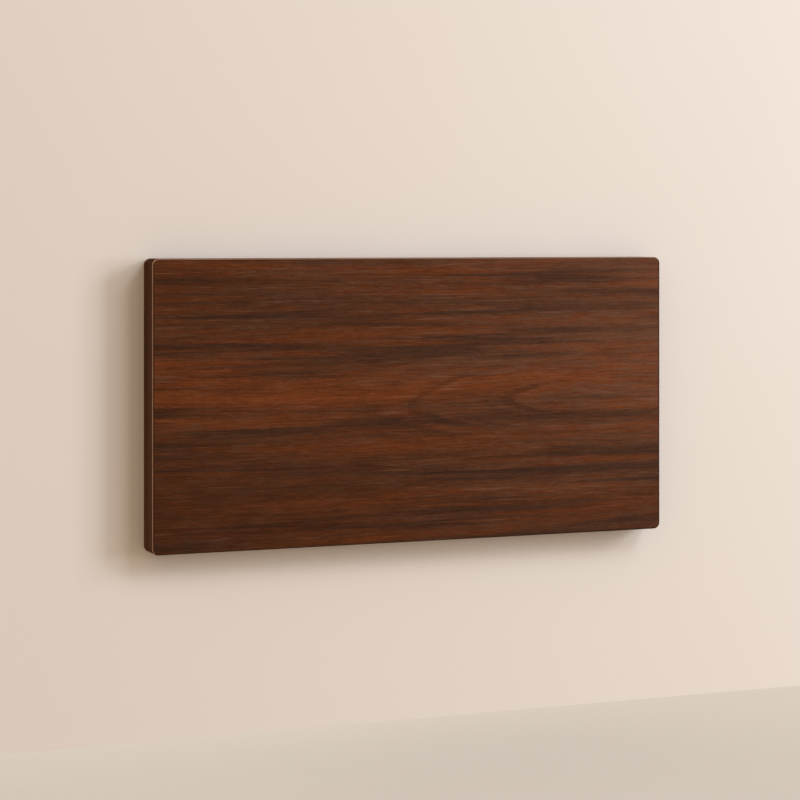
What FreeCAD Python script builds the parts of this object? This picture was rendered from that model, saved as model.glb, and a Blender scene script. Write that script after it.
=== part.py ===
import FreeCAD, Part
import os
import re
import Sketcher

# Wall mounted drop leaf table, folded. Millimetres, +X right, +Y into the wall, +Z up.
# The origin is the centre of the four wall screw holes on the wall plane.

doc = FreeCAD.newDocument("drop_leaf_table")
sheet = doc.addObject("Spreadsheet::Sheet", "Sizes")

SIZES = {
    # outline of leaf and frame
    "panel_width": 850,
    "panel_height": 440,
    "corner_radius": 10,
    "leaf_thickness": 24,
    "seam_gap": 1,
    "frame_depth": 21,
    # leaf layers
    "laminate_thickness": 0.8,
    "band_thickness": 2,
    "front_arris_width": 1.5,
    "back_arris_width": 0.6,
    # wall frame
    "stile_width": 35,
    "rail_height": 40,
    "dowel_radius": 4,
    "dowel_half_length": 20,
    "dowel_inset": 12,
    "dowel_clearance": 0.05,
    "wall_hole_inset": 40,
    "wall_hole_radius": 3,
    "wall_sink_radius": 6.5,
    "wall_sink_depth": 3.5,
    "grip_width": 120,
    "grip_height": 20,
    "grip_depth": 13,
    "grip_corner_radius": 8,
    # butt hinges
    "hinge_end_inset": 120,
    "hinge_length": 76,
    "hinge_top_inset": 3,
    "wing_height": 20,
    "wing_thickness": 1.2,
    "wing_screw_inset": 11,
    "wing_screw_end": 12,
    "knuckle_radius": 2.8,
    "knuckle_gap": 0.3,
    "hinge_pin_radius": 1.4,
    "hinge_pin_inset": 0.2,
    "mortise_clearance": 0.1,
    "rabbet_clearance": 1,
    # prop arms, rollers and tracks
    "pivot_distance": 130,
    "roller_rest_height": 12,
    "arm_width": 14,
    "arm_thickness": 6,
    "bracket_thickness": 3,
    "bracket_height": 60,
    "bracket_inset": 2,
    "bracket_screw_inset": 8,
    "pivot_radius": 4,
    "pivot_head_radius": 6.5,
    "pivot_head_thickness": 2.5,
    "pivot_head_gap": 0.3,
    "washer_radius": 8,
    "washer_thickness": 0.8,
    "washer_gap": 0.1,
    "roller_radius": 7,
    "roller_width": 10,
    "roller_gap": 0.3,
    "roller_offset": 4.5,
    "axle_radius": 2.5,
    "axle_shoulder_radius": 3,
    "axle_head_thickness": 1.8,
    "track_thickness": 1.5,
    "track_side_gap": 0.75,
    "track_lead_length": 16,
    "track_tail_length": 9,
    "track_screw_inset": 47,
    # turn buttons
    "lock_offset": 18.5,
    "lock_gap": 0.5,
    "lock_blade_width": 6,
    "lock_blade_thickness": 3,
    "lock_blade_length": 20,
    "lock_eye_radius": 5.5,
    "lock_flange_gap": 1,
    "lock_clearance": 0.3,
    "lock_post_radius": 3,
    "lock_head_radius": 5,
    "lock_head_thickness": 2.2,
    "lock_thread_radius": 2,
    "lock_thread_length": 12,
    # catches and pads
    "catch_inset": 190,
    "catch_radius": 6,
    "catch_length": 10,
    "strike_radius": 9,
    "strike_thickness": 0.8,
    "pad_radius": 6,
    "pad_thickness": 0.8,
    "pad_inset": 30,
    # countersunk screws
    "screw_head_radius": 3,
    "screw_head_depth": 1.2,
    "screw_radius": 1.5,
    "screw_length": 14,
    "drive_length": 3.2,
    "drive_width": 0.8,
    "drive_depth": 0.7,
    # fits
    "run_clearance": 0.05,
    "press_clearance": 0.02,
    "overrun_length": 1,
    # counts
    "knuckle_count": 5,
}

DERIVED = {
    "half_width": "panel_width / 2",
    "half_height": "panel_height / 2",
    "leaf_back": "-frame_depth - seam_gap",
    "leaf_front": "leaf_back - leaf_thickness",
    "stile_inner": "half_width - stile_width",
    "rail_inner": "half_height - rail_height",
    "rail_middle": "half_height - rail_height / 2",
    "wall_hole_x": "stile_inner - wall_hole_inset",
    "hinge_x": "stile_inner - hinge_end_inset",
    "wing_screw_pitch": "hinge_length / 2 - wing_screw_end",
    "bracket_screw_pitch": "bracket_height - 2 * bracket_screw_inset",
    "catch_x": "stile_inner - catch_inset",
    "axis_y": "-frame_depth - seam_gap / 2",
    "axis_z": "half_height - hinge_top_inset",
    "knuckle_relief": "knuckle_radius + knuckle_gap",
    "knuckle_pitch": "hinge_length / knuckle_count",
    "wing_top": "axis_z - knuckle_relief",
    "wing_foot": "wing_top - wing_height",
    "roller_lift": "track_thickness + roller_gap + roller_radius",
    "pivot_y": "leaf_back + roller_lift",
    "pivot_z": "axis_z - pivot_distance",
    "bracket_face": "stile_inner - bracket_thickness",
    "arm_outer": "bracket_face - washer_thickness - 2 * washer_gap",
    "arm_inner": "arm_outer - arm_thickness",
    "roller_outer": "arm_inner - roller_offset",
    "roller_inner": "roller_outer - roller_width",
    "roller_z": "-rail_inner + roller_rest_height",
    "arm_reach": "pivot_z - roller_z",
    "track_outer": "roller_outer + track_side_gap + track_thickness",
    "track_inner": "roller_inner - track_side_gap - track_thickness",
    "track_middle": "(track_outer + track_inner) / 2",
    "track_rise": "roller_lift - axle_shoulder_radius - roller_gap",
    "arm_rise": "pivot_distance + seam_gap / 2 - roller_lift",
    "open_reach": "sqrt(arm_reach ^ 2 - arm_rise ^ 2) - (pivot_y - axis_y)",
    "track_top": "axis_z - open_reach + track_lead_length",
    "track_foot": "roller_z - track_tail_length",
    "track_screw_pitch": "(track_top - track_foot) / 2 - track_screw_inset",
    "lock_x": "track_middle - lock_offset",
    "lock_z": "axis_z - open_reach - roller_radius - lock_gap - lock_blade_width / 2",
    "blade_low": "leaf_back + track_rise + lock_flange_gap",
    "blade_high": "blade_low + lock_blade_thickness",
}

for row, (name, value) in enumerate(list(SIZES.items()) + list(DERIVED.items()), start=1):
    sheet.set(f"A{row}", name)
    sheet.set(f"B{row}", f"={value}" if name in DERIVED else str(value))
    sheet.setAlias(f"B{row}", name)
doc.recompute()
WORDS = set(SIZES) | set(DERIVED)


def linked(text):
    """An expression in size names, as the document reads it."""
    return re.sub(r"[a-z_]+", lambda m: f"Sizes.{m.group()}" if m.group() in WORDS else m.group(), text)


def bind(item, place, text):
    item.setExpression(place, linked(text))


# Solids along the axes

def box(name, across, deep, tall):
    item = doc.addObject("Part::Box", name)
    for side, axis, (start, end) in zip(("Length", "Width", "Height"), "xyz", (across, deep, tall)):
        bind(item, side, f"({end}) - ({start})")
        bind(item, f"Placement.Base.{axis}", start)
    return item


TURN = {
    "x": FreeCAD.Rotation(FreeCAD.Vector(0, 1, 0), 90),
    "y": FreeCAD.Rotation(FreeCAD.Vector(1, 0, 0), -90),
    "z": FreeCAD.Rotation(),
}


def lay(item, axis, start, across):
    """Lays a round solid along an axis from start, at the other two places in axis order."""
    item.Placement = FreeCAD.Placement(FreeCAD.Vector(), TURN[axis])
    others = [letter for letter in "xyz" if letter != axis]
    bind(item, f"Placement.Base.{axis}", start)
    for letter, place in zip(others, across):
        bind(item, f"Placement.Base.{letter}", place)
    return item


def rod(name, axis, start, end, across, radius):
    item = doc.addObject("Part::Cylinder", name)
    bind(item, "Radius", radius)
    bind(item, "Height", f"({end}) - ({start})")
    return lay(item, axis, start, across)


def cone(name, axis, start, end, across, first, last):
    item = doc.addObject("Part::Cone", name)
    bind(item, "Radius1", first)
    bind(item, "Radius2", last)
    bind(item, "Height", f"({end}) - ({start})")
    return lay(item, axis, start, across)


def fuse(label, items):
    item = doc.addObject("Part::MultiFuse", label)
    item.Shapes = items
    item.Refine = True
    return item


def cut(label, base, tools):
    item = doc.addObject("Part::Cut", label)
    item.Base = base
    item.Tool = tools[0] if len(tools) == 1 else fuse(f"{label}_tools", tools)
    item.Refine = True
    return item


def gather(label, items):
    item = doc.addObject("Part::Compound", label)
    item.Links = items
    return item


def mirror(label, source):
    item = doc.addObject("Part::Mirroring", label)
    item.Source = source
    item.Normal = FreeCAD.Vector(1, 0, 0)
    return item


NODES = {}


def node(label, item):
    item.Label = label
    NODES[label] = item
    return item


def pair(label, item):
    """A piece on the right side and its mirror image on the left."""
    node(f"{label}_right", item)
    node(f"{label}_left", mirror(f"{label}_left", item))


# Sketched bodies

def rectangle(body, name, width, height):
    """A rectangle centred on the body's XZ plane."""
    sketch = body.newObject("Sketcher::SketchObject", name)
    plane = next(item for item in body.Origin.OriginFeatures if item.Role == "XZ_Plane")
    sketch.AttachmentSupport = [(plane, "")]
    sketch.MapMode = "FlatFace"
    first = sheet.overrun_length
    turns = ((-first, -first), (first, -first), (first, first), (-first, first))
    corners = [FreeCAD.Vector(x, z, 0) for x, z in turns]
    for start, end in zip(corners, corners[1:] + corners[:1]):
        sketch.addGeometry(Part.LineSegment(start, end), False)
    for side in range(len(corners)):
        sketch.addConstraint(Sketcher.Constraint("Coincident", side, 2, (side + 1) % len(corners), 1))
    for kind, sides in (("Horizontal", (0, 2)), ("Vertical", (1, 3))):
        for side in sides:
            sketch.addConstraint(Sketcher.Constraint(kind, side))
    sketch.addConstraint(Sketcher.Constraint("Symmetric", 0, 1, 1, 2, -1, 1))
    across = sketch.addConstraint(Sketcher.Constraint("DistanceX", 0, 1, 0, 2, 2 * first))
    tall = sketch.addConstraint(Sketcher.Constraint("DistanceY", 1, 1, 1, 2, 2 * first))
    sketch.renameConstraint(across, "across")
    sketch.renameConstraint(tall, "tall")
    bind(sketch, "Constraints.across", width)
    bind(sketch, "Constraints.tall", height)
    return sketch


def edges_of(shape, wanted):
    return [f"Edge{number}" for number, edge in enumerate(shape.Edges, start=1) if wanted(edge)]


def runs_deep(edge):
    """Edges straight along Y, the corners of a panel's outline."""
    start, end = (vertex.Point for vertex in edge.Vertexes)
    return abs(start.x - end.x) + abs(start.z - end.z) < sheet.press_clearance


def lies_at(level):
    """Picks the edges that lie wholly at one depth."""
    return lambda edge: all(abs(vertex.Point.y - level) < sheet.press_clearance for vertex in edge.Vertexes)


def dress(body, kind, name, base, size_name, size, wanted):
    doc.recompute()
    item = body.newObject(kind, name)
    item.Base = (base, edges_of(base.Shape, wanted))
    bind(item, size_name, size)
    doc.recompute()
    return item


def panel(label, inset, back, thickness):
    """A sheet with rounded corners: its outline set in from the leaf's, its back face at a depth."""
    body = doc.addObject("PartDesign::Body", f"{label}_body")
    outline = rectangle(body, f"{label}_outline", f"panel_width - 2 * ({inset})",
                        f"panel_height - 2 * ({inset})")
    pad = body.newObject("PartDesign::Pad", f"{label}_pad")
    pad.Profile = outline
    bind(pad, "Length", thickness)
    bind(body, "Placement.Base.y", back)
    rounding = dress(body, "PartDesign::Fillet", f"{label}_corners", pad, "Radius",
                     f"corner_radius - ({inset})", runs_deep)
    return body, rounding


# Countersunk screws and their holes, made once along +Y and linked to each place

def pointed(label, play):
    head = cone(f"{label}_head", "y", "0", "screw_head_depth", ("0", "0"),
                f"screw_head_radius + {play}", f"screw_radius + {play}")
    shank = rod(f"{label}_shank", "y", "screw_head_depth", f"screw_length + {play}", ("0", "0"),
                f"screw_radius + {play}")
    return fuse(label, [head, shank])


cross = [
    box("drive_across", ("-drive_length / 2", "drive_length / 2"), ("-overrun_length", "drive_depth"),
        ("-drive_width / 2", "drive_width / 2")),
    box("drive_upright", ("-drive_width / 2", "drive_width / 2"), ("-overrun_length", "drive_depth"),
        ("-drive_length / 2", "drive_length / 2")),
]
screw_model = cut("screw_model", pointed("screw_blank", "0"), cross)
hole_model = pointed("hole_model", "press_clearance")

# Ways a screw may point, each as a turn from +Y
POINTS = {
    "in": FreeCAD.Rotation(),
    "out": FreeCAD.Rotation(FreeCAD.Vector(0, 0, 1), 180),
    "right": FreeCAD.Rotation(FreeCAD.Vector(0, 0, 1), -90),
    "left": FreeCAD.Rotation(FreeCAD.Vector(0, 0, 1), 90),
}


def copies(label, model, places):
    """Copies of a model, each at (way it points, x, y, z)."""
    items = []
    for number, (way, *spots) in enumerate(places):
        item = doc.addObject("App::Link", f"{label}_{number}")
        item.LinkedObject = model
        item.LinkTransform = False
        item.Placement = FreeCAD.Placement(FreeCAD.Vector(), POINTS[way])
        for axis, spot in zip("xyz", spots):
            bind(item, f"Placement.Base.{axis}", spot)
        items.append(item)
    return gather(label, items)


def screws(label, places):
    """The screws at these places as one node; gives back their holes."""
    node(label, copies(label, screw_model, places))
    return copies(f"{label}_holes", hole_model, places)


SIDES = ("-", "")
HINGES = {"left": "-hinge_x", "centre": "0", "right": "hinge_x"}

# Butt hinges: two wings with interleaved knuckles on one pin

wing_spots = [f"({middle}) + ({step}) * wing_screw_pitch"
              for middle in HINGES.values() for step in (-1, 0, 1)]
frame_wing_holes = screws("hinge_frame_screws", [
    ("in", spot, "-frame_depth", "wing_foot + wing_screw_inset") for spot in wing_spots])
leaf_wing_holes = screws("hinge_leaf_screws", [
    ("out", spot, "leaf_back", "wing_foot + wing_screw_inset") for spot in wing_spots])


def hinge_wing(label, middle, knuckles, deep, bore_fit, holes):
    start = f"({middle}) - hinge_length / 2"
    solids = [box(f"{label}_plate", (start, f"({middle}) + hinge_length / 2"), deep,
                  ("wing_foot", "wing_top"))]
    for knuckle in knuckles:
        near = f"{start} + {knuckle} * knuckle_pitch + knuckle_gap / 2"
        far = f"{start} + {knuckle + 1} * knuckle_pitch - knuckle_gap / 2"
        solids.append(box(f"{label}_tab_{knuckle}", (near, far), deep, ("wing_top", "axis_z")))
        solids.append(rod(f"{label}_knuckle_{knuckle}", "x", near, far, ("axis_y", "axis_z"),
                          "knuckle_radius"))
    end = f"({middle}) + hinge_length / 2 + overrun_length"
    bore = rod(f"{label}_bore", "x", f"{start} - overrun_length", end, ("axis_y", "axis_z"),
               f"hinge_pin_radius + {bore_fit}")
    return node(label, cut(label, fuse(f"{label}_blank", solids), [bore, holes]))


FRAME_WING = ("-frame_depth", "-frame_depth + wing_thickness")
LEAF_WING = ("leaf_back - wing_thickness", "leaf_back")
pins = []
frame_mortises = []
leaf_mortises = []
for side, middle in HINGES.items():
    hinge_wing(f"hinge_frame_wing_{side}", middle, (0, 2, 4), FRAME_WING, "press_clearance", frame_wing_holes)
    hinge_wing(f"hinge_leaf_wing_{side}", middle, (1, 3), LEAF_WING, "run_clearance", leaf_wing_holes)
    near = f"({middle}) - hinge_length / 2"
    far = f"({middle}) + hinge_length / 2"
    pins.append(rod(f"hinge_pin_{side}", "x", f"{near} + hinge_pin_inset", f"{far} - hinge_pin_inset",
                    ("axis_y", "axis_z"), "hinge_pin_radius"))
    wide = (f"{near} - mortise_clearance", f"{far} + mortise_clearance")
    foot = "wing_foot - mortise_clearance"
    frame_mortises += [
        box(f"frame_mortise_{side}", wide, ("-frame_depth - overrun_length", FRAME_WING[1]),
            (foot, "wing_top")),
        box(f"frame_notch_{side}", wide, ("-frame_depth - overrun_length", "axis_y + knuckle_relief"),
            ("wing_top", "half_height + overrun_length")),
    ]
    leaf_mortises += [
        box(f"leaf_mortise_{side}", wide, (LEAF_WING[0], "leaf_back + overrun_length"), (foot, "wing_top")),
        box(f"leaf_notch_{side}", wide, ("axis_y - knuckle_relief", "leaf_back + overrun_length"),
            ("wing_top", "half_height + overrun_length")),
    ]
node("hinge_pins", gather("hinge_pins", pins))

# Wall frame: two stiles and two rails, dowelled, with a rabbet along the top for the leaf's edge

rabbet = box("rabbet", ("-half_width - overrun_length", "half_width + overrun_length"),
             ("-frame_depth - overrun_length", "axis_y + hinge_top_inset + rabbet_clearance"),
             ("axis_z - rabbet_clearance", "half_height + overrun_length"))

dowels = []
dowel_holes = []
for side in SIDES:
    for end in SIDES:
        for step in ("rail_inner + dowel_inset", "half_height - dowel_inset"):
            name = f"dowel_{len(dowels)}"
            middle = f"{side}stile_inner"
            spot = ("-frame_depth / 2", f"{end}({step})")
            dowels.append(rod(name, "x", f"{middle} - dowel_half_length", f"{middle} + dowel_half_length",
                              spot, "dowel_radius"))
            hole_half = "(dowel_half_length + dowel_clearance)"
            dowel_holes.append(rod(f"{name}_hole", "x", f"{middle} - {hole_half}", f"{middle} + {hole_half}",
                                   spot, "dowel_radius + dowel_clearance"))
node("frame_dowels", gather("frame_dowels", dowels))
dowel_bores = gather("dowel_bores", dowel_holes)

through_frame = ("-frame_depth - overrun_length", "overrun_length")
wall_bores = []
for side in SIDES:
    for end in SIDES:
        spot = (f"{side}wall_hole_x", f"{end}rail_middle")
        name = f"wall_hole_{len(wall_bores)}"
        bore = rod(f"{name}_bore", "y", *through_frame, spot, "wall_hole_radius")
        sink = cone(f"{name}_sink", "y", "-frame_depth", "-frame_depth + wall_sink_depth", spot,
                    "wall_sink_radius", "wall_hole_radius")
        wall_bores.append(fuse(name, [bore, sink]))
wall_holes = gather("wall_holes", wall_bores)

bracket_spots = [f"pivot_z + ({step}) * bracket_screw_pitch / 2" for step in (-1, 1)]
bracket_holes = screws("bracket_screws", [
    (way, f"{side}bracket_face", "-frame_depth / 2", spot)
    for side, way in zip(SIDES, ("left", "right")) for spot in bracket_spots])

frame_blank = panel("frame_outline", "0", "0", "frame_depth")[0]
stile_space = box("stile_space", ("stile_inner", "half_width + overrun_length"), through_frame,
                  ("-half_height - overrun_length", "half_height + overrun_length"))
stile_blank = doc.addObject("Part::Common", "stile_blank")
stile_blank.Base = frame_blank
stile_blank.Tool = stile_space
pair("stile", cut("stile_right", stile_blank, [rabbet, dowel_bores, bracket_holes]))

across = ("-stile_inner", "stile_inner")
frame_deep = ("-frame_depth", "0")
top_blank = box("top_blank", across, frame_deep, ("rail_inner", "half_height"))
top_cuts = [rabbet, dowel_bores, wall_holes, frame_wing_holes] + frame_mortises
node("top_rail", cut("top_rail", top_blank, top_cuts))

magnets = []
strikes = []
strike_spots = []
for side in SIDES:
    spot = (f"{side}catch_x", "-rail_middle")
    magnets.append(rod(f"magnet{side}", "y", "-frame_depth", "-frame_depth + catch_length", spot,
                       "catch_radius"))
    strikes.append(rod(f"strike{side}", "y", "leaf_back - strike_thickness", "leaf_back", spot,
                       "strike_radius"))
    strike_spots.append(("out", spot[0], "leaf_back", spot[1]))
magnet_beds = gather("magnet_beds", magnets)
strike_beds = gather("strike_beds", strikes)
strike_holes = screws("strike_screws", strike_spots)
node("catch_magnets", gather("catch_magnets", magnets))
node("strike_plates", cut("strike_plates", strike_beds, [strike_holes]))

# A hollow under the bottom rail lets fingers reach behind the leaf's lower edge
grip_top = "-half_height + grip_height"
grip_shoulder = f"{grip_top} - grip_corner_radius"
grip_deep = ("-frame_depth - overrun_length", "-frame_depth + grip_depth")
grip_side = "grip_width / 2 - grip_corner_radius"
grip = fuse("grip", [
    box("grip_low", ("-grip_width / 2", "grip_width / 2"), grip_deep,
        ("-half_height - overrun_length", grip_shoulder)),
    box("grip_high", (f"-({grip_side})", grip_side), grip_deep, (grip_shoulder, grip_top)),
    rod("grip_left", "y", *grip_deep, (f"-({grip_side})", grip_shoulder), "grip_corner_radius"),
    rod("grip_right", "y", *grip_deep, (grip_side, grip_shoulder), "grip_corner_radius"),
])
bottom_blank = box("bottom_blank", across, frame_deep, ("-half_height", "-rail_inner"))
node("bottom_rail", cut("bottom_rail", bottom_blank, [dowel_bores, wall_holes, magnet_beds, grip]))

pads = [
    rod(f"pad{side}{number}", "y", "-frame_depth - pad_thickness", "-frame_depth",
        (f"{side}(half_width - stile_width / 2)", height), "pad_radius")
    for side in SIDES for number, height in enumerate(("-half_height + pad_inset", "0"))]
node("bumper_pads", gather("bumper_pads", pads))

# Leaf: a board between two laminates inside an edge band

track_spots = [f"(track_top + track_foot) / 2 + ({step}) * track_screw_pitch" for step in (-1, 0, 1)]
track_holes = screws("track_screws", [
    ("out", f"{side}track_middle", "leaf_back + track_thickness", spot)
    for side in SIDES for spot in track_spots])

lock_bores = gather("lock_bores", [
    rod(f"lock_bore{side}", "y", "leaf_back - lock_thread_length - press_clearance",
        "leaf_back + overrun_length", (f"{side}lock_x", "lock_z"), "lock_thread_radius + press_clearance")
    for side in SIDES])

leaf_holes = [leaf_wing_holes, track_holes, strike_holes, lock_bores]
core_body = panel("leaf_core", "band_thickness", "leaf_back - laminate_thickness",
                  "leaf_thickness - 2 * laminate_thickness")[0]
node("leaf_core", cut("leaf_core", core_body, leaf_holes + leaf_mortises))
back_body = panel("leaf_back_laminate", "band_thickness", "leaf_back", "laminate_thickness")[0]
node("leaf_back_laminate", cut("leaf_back_laminate", back_body, leaf_holes + leaf_mortises + [strike_beds]))
top_body = panel("leaf_top_laminate", "band_thickness", "leaf_front + laminate_thickness",
                 "laminate_thickness")[0]
node("leaf_top_laminate", top_body)

band_body, band_corners = panel("leaf_edge_band", "0", "leaf_back", "leaf_thickness")
band_front = dress(band_body, "PartDesign::Chamfer", "band_front", band_corners, "Size", "front_arris_width",
                   lies_at(-sheet.leaf_thickness))
dress(band_body, "PartDesign::Chamfer", "band_back", band_front, "Size", "back_arris_width", lies_at(0))
inside = panel("band_inside", "band_thickness", "leaf_back + overrun_length",
               "leaf_thickness + 2 * overrun_length")[0]
node("leaf_edge_band", cut("leaf_edge_band", band_body, [inside] + leaf_mortises))

# Prop arms: bracket on the stile, pivot pin and washer, flat arm, roller on its axle

pivot = ("pivot_y", "pivot_z")
roller_spot = ("pivot_y", "roller_z")
bracket_blank = box("bracket_blank", ("bracket_face", "stile_inner"),
                    ("-frame_depth + bracket_inset", "-bracket_inset"),
                    ("pivot_z - bracket_height / 2", "pivot_z + bracket_height / 2"))
pivot_bore = rod("pivot_bore", "x", "bracket_face - overrun_length", "stile_inner + overrun_length", pivot,
                 "pivot_radius + press_clearance")
pair("arm_bracket", cut("arm_bracket_right", bracket_blank, [pivot_bore, bracket_holes]))

pivot_neck = "arm_inner - pivot_head_gap"
pair("arm_pivot", fuse("arm_pivot_right", [
    rod("pivot_shank", "x", pivot_neck, "stile_inner", pivot, "pivot_radius"),
    rod("pivot_head", "x", f"{pivot_neck} - pivot_head_thickness", pivot_neck, pivot, "pivot_head_radius")]))

washer_disc = rod("washer_disc", "x", "arm_outer + washer_gap", "bracket_face - washer_gap", pivot,
                  "washer_radius")
washer_bore = rod("washer_bore", "x", "arm_outer - overrun_length", "bracket_face + overrun_length", pivot,
                  "pivot_radius + run_clearance")
washer = cut("washer_right", washer_disc, [washer_bore])
node("arm_washers", gather("arm_washers", [washer, mirror("washer_left", washer)]))

arm_span = ("arm_inner", "arm_outer")
arm_blank = fuse("arm_blank", [
    box("arm_bar", arm_span, ("pivot_y - arm_width / 2", "pivot_y + arm_width / 2"), ("roller_z", "pivot_z")),
    rod("arm_head", "x", *arm_span, pivot, "arm_width / 2"),
    rod("arm_foot", "x", *arm_span, roller_spot, "arm_width / 2")])
through_arm = ("arm_inner - overrun_length", "arm_outer + overrun_length")
arm_bores = [
    rod("arm_head_bore", "x", *through_arm, pivot, "pivot_radius + run_clearance"),
    rod("arm_foot_bore", "x", *through_arm, roller_spot, "axle_radius + press_clearance")]
pair("arm", cut("arm_right", arm_blank, arm_bores))

axle_inner = "roller_inner - roller_gap"
pair("roller_axle", fuse("roller_axle_right", [
    rod("axle_shank", "x", axle_inner, "arm_outer", roller_spot, "axle_radius"),
    rod("axle_shoulder", "x", "roller_outer + roller_gap", "arm_inner", roller_spot, "axle_shoulder_radius"),
    rod("axle_head", "x", f"{axle_inner} - axle_head_thickness", axle_inner, roller_spot,
        "axle_shoulder_radius")]))
roller_wheel = rod("roller_wheel", "x", "roller_inner", "roller_outer", roller_spot, "roller_radius")
roller_bore = rod("roller_bore", "x", "roller_inner - overrun_length", "roller_outer + overrun_length",
                  roller_spot, "axle_radius + run_clearance")
pair("roller", cut("roller_right", roller_wheel, [roller_bore]))

track_blank = box("track_blank", ("track_inner", "track_outer"), ("leaf_back", "leaf_back + track_rise"),
                  ("track_foot", "track_top"))
track_way = box("track_way", ("track_inner + track_thickness", "track_outer - track_thickness"),
                ("leaf_back + track_thickness", "leaf_back + track_rise + overrun_length"),
                ("track_foot - overrun_length", "track_top + overrun_length"))
pair("track", cut("track_right", track_blank, [track_way, track_holes]))

# Turn buttons: a blade on a shoulder screw, swung across the track behind the raised roller

lock_spot = ("lock_x", "lock_z")
blade_deep = ("blade_low", "blade_high")
blade = fuse("blade_blank", [
    rod("blade_eye", "y", *blade_deep, lock_spot, "lock_eye_radius"),
    box("blade_bar", ("lock_x - lock_blade_width / 2", "lock_x + lock_blade_width / 2"), blade_deep,
        ("lock_z - lock_blade_length + lock_blade_width / 2", "lock_z")),
    rod("blade_tip", "y", *blade_deep, ("lock_x", "lock_z - lock_blade_length + lock_blade_width / 2"),
        "lock_blade_width / 2")])
blade_bore = rod("blade_bore", "y", "blade_low - overrun_length", "blade_high + overrun_length", lock_spot,
                 "lock_post_radius + run_clearance")
pair("lock_blade", cut("lock_blade_right", blade, [blade_bore]))

post_neck = "blade_high + lock_clearance"
pair("lock_post", fuse("lock_post_right", [
    rod("post_thread", "y", "leaf_back - lock_thread_length", "leaf_back", lock_spot, "lock_thread_radius"),
    rod("post_shoulder", "y", "leaf_back", post_neck, lock_spot, "lock_post_radius"),
    rod("post_head", "y", post_neck, f"{post_neck} + lock_head_thickness", lock_spot, "lock_head_radius")]))
spacer = cut("spacer_right", rod("spacer_disc", "y", "leaf_back", "blade_low - lock_clearance", lock_spot,
                                 "lock_head_radius"),
             [rod("spacer_bore", "y", "leaf_back - overrun_length", "blade_low + overrun_length", lock_spot,
                  "lock_post_radius + press_clearance")])
node("lock_spacers", gather("lock_spacers", [spacer, mirror("spacer_left", spacer)]))

doc.recompute()

# Every object must be sound before the pieces are written

for item in doc.Objects:
    if "Invalid" in item.State or "Error" in item.State:
        raise RuntimeError(f"{item.Name} is {item.State}")
os.makedirs("parts", exist_ok=True)
for label, item in sorted(NODES.items()):
    item.Label = label
    shape = item.Shape
    if shape.isNull() or not shape.isValid():
        raise RuntimeError(f"{label} has no sound shape")
    shape.exportStep(f"parts/{label}.step")
    print(label, len(shape.Solids), round(shape.Volume))
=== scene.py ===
# %% [markdown]
# # A wall mounted drop leaf table
#
# This lesson dresses a folding table that hangs on a wall. Its solid pieces come ready made, in metres. What is left
# to do here is the looks: walnut, steel, nylon and rubber, a plain studio, and a camera where the picture was taken.

import math

import bpy
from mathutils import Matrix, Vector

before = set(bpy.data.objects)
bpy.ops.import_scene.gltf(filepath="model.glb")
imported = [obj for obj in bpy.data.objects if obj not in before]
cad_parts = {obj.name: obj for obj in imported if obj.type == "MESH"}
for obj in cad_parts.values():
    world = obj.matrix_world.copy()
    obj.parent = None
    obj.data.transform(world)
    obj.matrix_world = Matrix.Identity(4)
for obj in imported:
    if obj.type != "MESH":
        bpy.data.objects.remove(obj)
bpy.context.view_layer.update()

# %% [markdown]
# ## The camera
#
# The picture was taken from the left, a little above the table, with a long lens held level. A level camera keeps
# upright edges upright, so the table sits in the frame by sliding the picture (lens shift) and not by tilting the
# camera. We could turn the camera down instead, but then the sides of the leaf would lean.

# %% Camera
CAMERA_PLACE = (-1.3387, -3.2847, 0.251)
CAMERA_TURN = -22.013
LENS = 101.68
PICTURE_SLIDE = -0.2027

camera_data = bpy.data.cameras.new("picture_camera")
camera_data.lens = LENS
camera_data.shift_y = PICTURE_SLIDE
camera = bpy.data.objects.new("picture_camera", camera_data)
camera.location = CAMERA_PLACE
camera.rotation_euler = (math.radians(90), 0, math.radians(CAMERA_TURN))
bpy.context.scene.collection.objects.link(camera)
bpy.context.scene.camera = camera
bpy.context.scene.view_settings.view_transform = "Standard"
print("camera", CAMERA_PLACE, "lens", LENS)

# %% [markdown]
# ## Helpers for materials
#
# A procedural material is a small machine of nodes. Placing each node and its links by hand takes many lines, so a
# few helpers do it: one places any node, one does arithmetic, one mixes colours, and one stretches noise along the
# grain. Colours are given as a picture program shows them and turned into Blender's linear light.


# %% Colours
def paint(red, green, blue):
    """A colour on the scale of 0 to 255 that picture programs use, as Blender's linear colour."""
    shares = [value / 255 for value in (red, green, blue)]
    return (*[s / 12.92 if s <= 0.04045 else ((s + 0.055) / 1.055) ** 2.4 for s in shares], 1.0)


print("half of 255 is", round(paint(128, 128, 128)[0], 3), "of white in linear light")


# %% Placing nodes
def feed(tree, made, inputs):
    """Gives each input of a node a plain value, or a link from the socket that feeds it."""
    for key, value in inputs.items():
        if isinstance(value, bpy.types.NodeSocket):
            tree.links.new(value, made.inputs[key])
        else:
            made.inputs[key].default_value = value
    return made


def place(tree, kind, inputs=None, **settings):
    """Adds one shader node. Its settings come first, because they decide which inputs it has."""
    made = tree.nodes.new("ShaderNode" + kind)
    for name, value in settings.items():
        setattr(made, name, value)
    return feed(tree, made, inputs or {})


print("node helpers ready")


# %% Arithmetic and mixing
def maths(tree, operation, *values):
    """The result of a Math node."""
    return place(tree, "Math", dict(enumerate(values)), operation=operation).outputs[0]


def mixed(tree, share, first, second):
    """Two colours mixed: share 0 gives the first, share 1 the second."""
    # A Mix node has sockets for every kind of data, and those for colours are numbers 6 and 7.
    return place(tree, "Mix", {0: share, 6: first, 7: second}, data_type="RGBA").outputs[2]


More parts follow.
